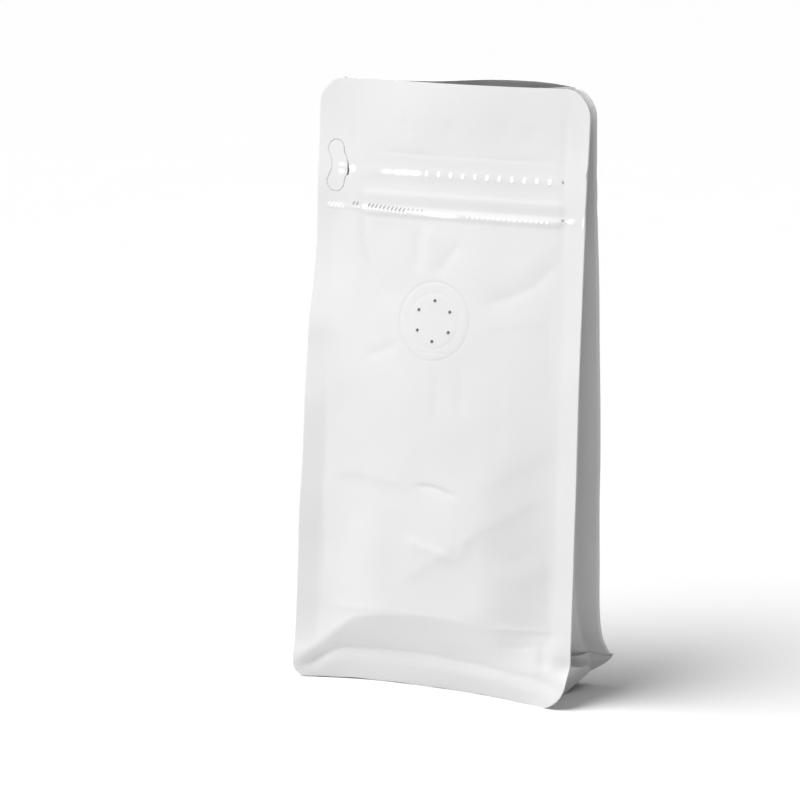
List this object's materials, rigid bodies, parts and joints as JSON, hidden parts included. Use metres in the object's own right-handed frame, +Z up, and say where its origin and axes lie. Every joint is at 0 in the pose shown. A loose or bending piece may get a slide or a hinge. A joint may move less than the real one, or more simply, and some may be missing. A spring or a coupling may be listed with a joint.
{
  "type": "foil stand-up pouch",
  "caption": "Empty flat-bottomed side-gusset foil pouch with corner seals, pocket zipper, tear strip with pull tab and a one-way degassing valve, standing with its mouth a little open.",
  "frame": {"origin": "on the surface it stands on, under the middle of the pouch's box", "axes": "+Z up; -Y the way the front panel with the valve faces; +X to the right seen from the front"},
  "size_m": [0.096, 0.0362, 0.1919],
  "materials": {
    "film": "matt white lacquer on foil laminate",
    "valve": "white moulded plastic behind the film",
    "zipper": "translucent white extruded plastic"
  },
  "bodies": {
    "root": {"pouch": "film", "degassing_valve": "valve", "zipper_tape": "zipper", "tear_strip": "film", "pull_tab": "film"}
  },
  "joints": []
}
